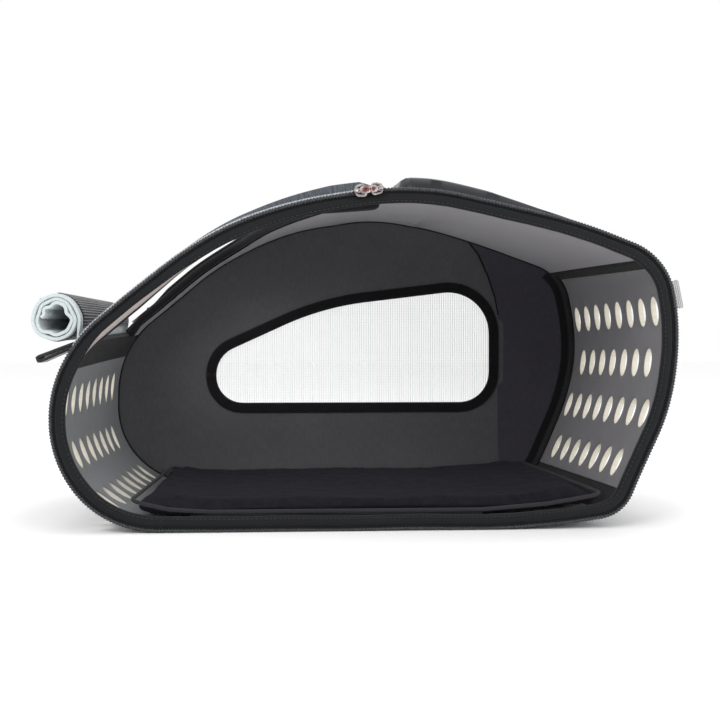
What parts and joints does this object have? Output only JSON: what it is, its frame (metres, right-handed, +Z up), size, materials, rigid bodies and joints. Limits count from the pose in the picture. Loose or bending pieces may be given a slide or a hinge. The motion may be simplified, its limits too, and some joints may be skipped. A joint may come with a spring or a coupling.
{
  "type": "pet carrier bag",
  "caption": "Soft-sided pet carrier with an open zip-off side, a sloped window with its flap rolled down, vented ends, a mesh window and a fleece pad.",
  "frame": {"origin": "centre of the base's outer face", "axes": "+X along the bag towards the rear end wall, +Y from the open side to the closed mesh side, +Z up"},
  "size_m": [0.546, 0.2775, 0.2982],
  "materials": {
    "outer_fabric": "dark woven polyester over moulded foam",
    "rim_fabric": "black woven tape",
    "zip_coil": "black nylon coil",
    "lining": "grey knit lining",
    "binding_fabric": "black padded binding",
    "melange_fabric": "dark grey melange",
    "moulded_cover": "coated smooth black fabric",
    "back_fabric": "charcoal stretch fabric",
    "mesh": "fine white mesh",
    "board": "stiffener board",
    "webbing_light": "light grey woven tab",
    "webbing": "black webbing",
    "zip_metal": "polished rose silver",
    "flap_fabric": "light grey fabric outside, black mesh",
    "strap": "glossy black strap",
    "fleece": "charcoal fleece",
    "ring_metal": "polished",
    "grip": "padded fabric grip"
  },
  "bodies": {
    "shell": {"back_mesh": "mesh", "back_panel": "back_fabric", "back_window_binding": "binding_fabric", "base_lining": "lining", "base_panel": "outer_fabric", "far_rim_band": "rim_fabric", "floor_board": "board", "frame_lining": "lining", "front_lining": "lining", "front_ring_tab": "webbing", "front_wall": "outer_fabric", "handle_anchors": "webbing", "near_rim_band": "rim_fabric", "rear_bottom_hinge_band": "rim_fabric", "rear_lining": "lining", "rear_ring_tab": "webbing", "rear_top_hinge_band": "rim_fabric", "rear_wall": "outer_fabric", "rim_zip_coil": "zip_coil", "roof_lining": "lining", "roof_panel": "outer_fabric", "roof_pocket_coil": "zip_coil", "roof_pocket_cover": "moulded_cover", "side_tab": "webbing_light", "sill_hinge_band": "rim_fabric", "window_binding": "binding_fabric", "window_crown": "melange_fabric", "window_frame": "outer_fabric", "window_zip_coil": "zip_coil"},
    "rim_slider_left": {"rim_slider_left": "zip_metal"},
    "rim_slider_right": {"rim_slider_right": "zip_metal"},
    "rim_pull_left": {"rim_pull_left": "zip_metal"},
    "rim_pull_right": {"rim_pull_right": "zip_metal"},
    "window_slider": {"window_slider": "zip_metal"},
    "window_pull": {"window_pull": "zip_metal"},
    "pocket_slider": {"pocket_slider": "zip_metal"},
    "pocket_pull": {"pocket_pull": "zip_metal"},
    "flap": {"flap_roll": "flap_fabric"},
    "strap": {"flap_strap": "strap"},
    "pad": {"base_pad": "fleece"},
    "front_ring": {"front_d_ring": "ring_metal"},
    "rear_ring": {"rear_d_ring": "ring_metal"},
    "handle": {"rear_handle": "webbing", "handle_grip": "grip"}
  },
  "joints": [
    {"name": "rim_slider_left_travel", "type": "slide", "parent": "shell", "child": "rim_slider_left", "axis": [-0.9877, 0, -0.1564], "range_m": [0, 0.026]},
    {"name": "rim_slider_right_travel", "type": "hinge", "parent": "shell", "child": "rim_slider_right", "pos_m": [0.03175, -0.12, 0.07767], "axis": [0, 1, 0], "range_deg": [0, 16]},
    {"name": "rim_pull_left_swing", "type": "hinge", "parent": "rim_slider_left", "child": "rim_pull_left", "pos_m": [-0.01081, -0.1272, 0.27699], "axis": [0.1564, 0, -0.9877], "range_deg": [0, 150]},
    {"name": "rim_pull_right_swing", "type": "hinge", "parent": "rim_slider_right", "child": "rim_pull_right", "pos_m": [0.00958, -0.1272, 0.27999], "axis": [-0.1092, 0, 0.994], "range_deg": [0, 150]},
    {"name": "window_slider_travel", "type": "slide", "parent": "shell", "child": "window_slider", "axis": [0.7716, 0, 0.6361], "range_m": [0, 0.05]},
    {"name": "window_pull_swing", "type": "hinge", "parent": "window_slider", "child": "window_pull", "pos_m": [-0.20841, 0.113, 0.19037], "axis": [0, 1, 0], "range_deg": [0, 120]},
    {"name": "pocket_slider_travel", "type": "slide", "parent": "shell", "child": "pocket_slider", "axis": [0.9781, 0, -0.2079], "range_m": [0, 0.037]},
    {"name": "pocket_pull_swing", "type": "hinge", "parent": "pocket_slider", "child": "pocket_pull", "pos_m": [0.07256, 0.098, 0.28969], "axis": [0, -1, 0], "range_deg": [0, 150]},
    {"name": "flap_lift", "type": "hinge", "parent": "shell", "child": "flap", "pos_m": [-0.24139, -0.104, 0.15571], "axis": [0.0623, 0.9974, 0.0352], "range_deg": [0, 26]},
    {"name": "strap_drop", "type": "hinge", "parent": "shell", "child": "strap", "pos_m": [-0.24576, -0.104, 0.14953], "axis": [0.0623, 0.9974, 0.0352], "range_deg": [-35, 4]},
    {"name": "pad_slide", "type": "slide", "parent": "shell", "child": "pad", "axis": [0, -1, 0], "range_m": [0, 0.26]},
    {"name": "front_ring_swing", "type": "hinge", "parent": "shell", "child": "front_ring", "pos_m": [-0.25105, 0, 0.1345], "axis": [0, 1, 0], "range_deg": [0, 140]},
    {"name": "rear_ring_swing", "type": "hinge", "parent": "shell", "child": "rear_ring", "pos_m": [0.24746, 0, 0.21466], "axis": [0, -1, 0], "range_deg": [0, 140]},
    {"name": "handle_swing", "type": "hinge", "parent": "shell", "child": "handle", "pos_m": [0, 0.1444, 0.244], "axis": [1, 0, 0], "range_deg": [0, 170]}
  ]
}
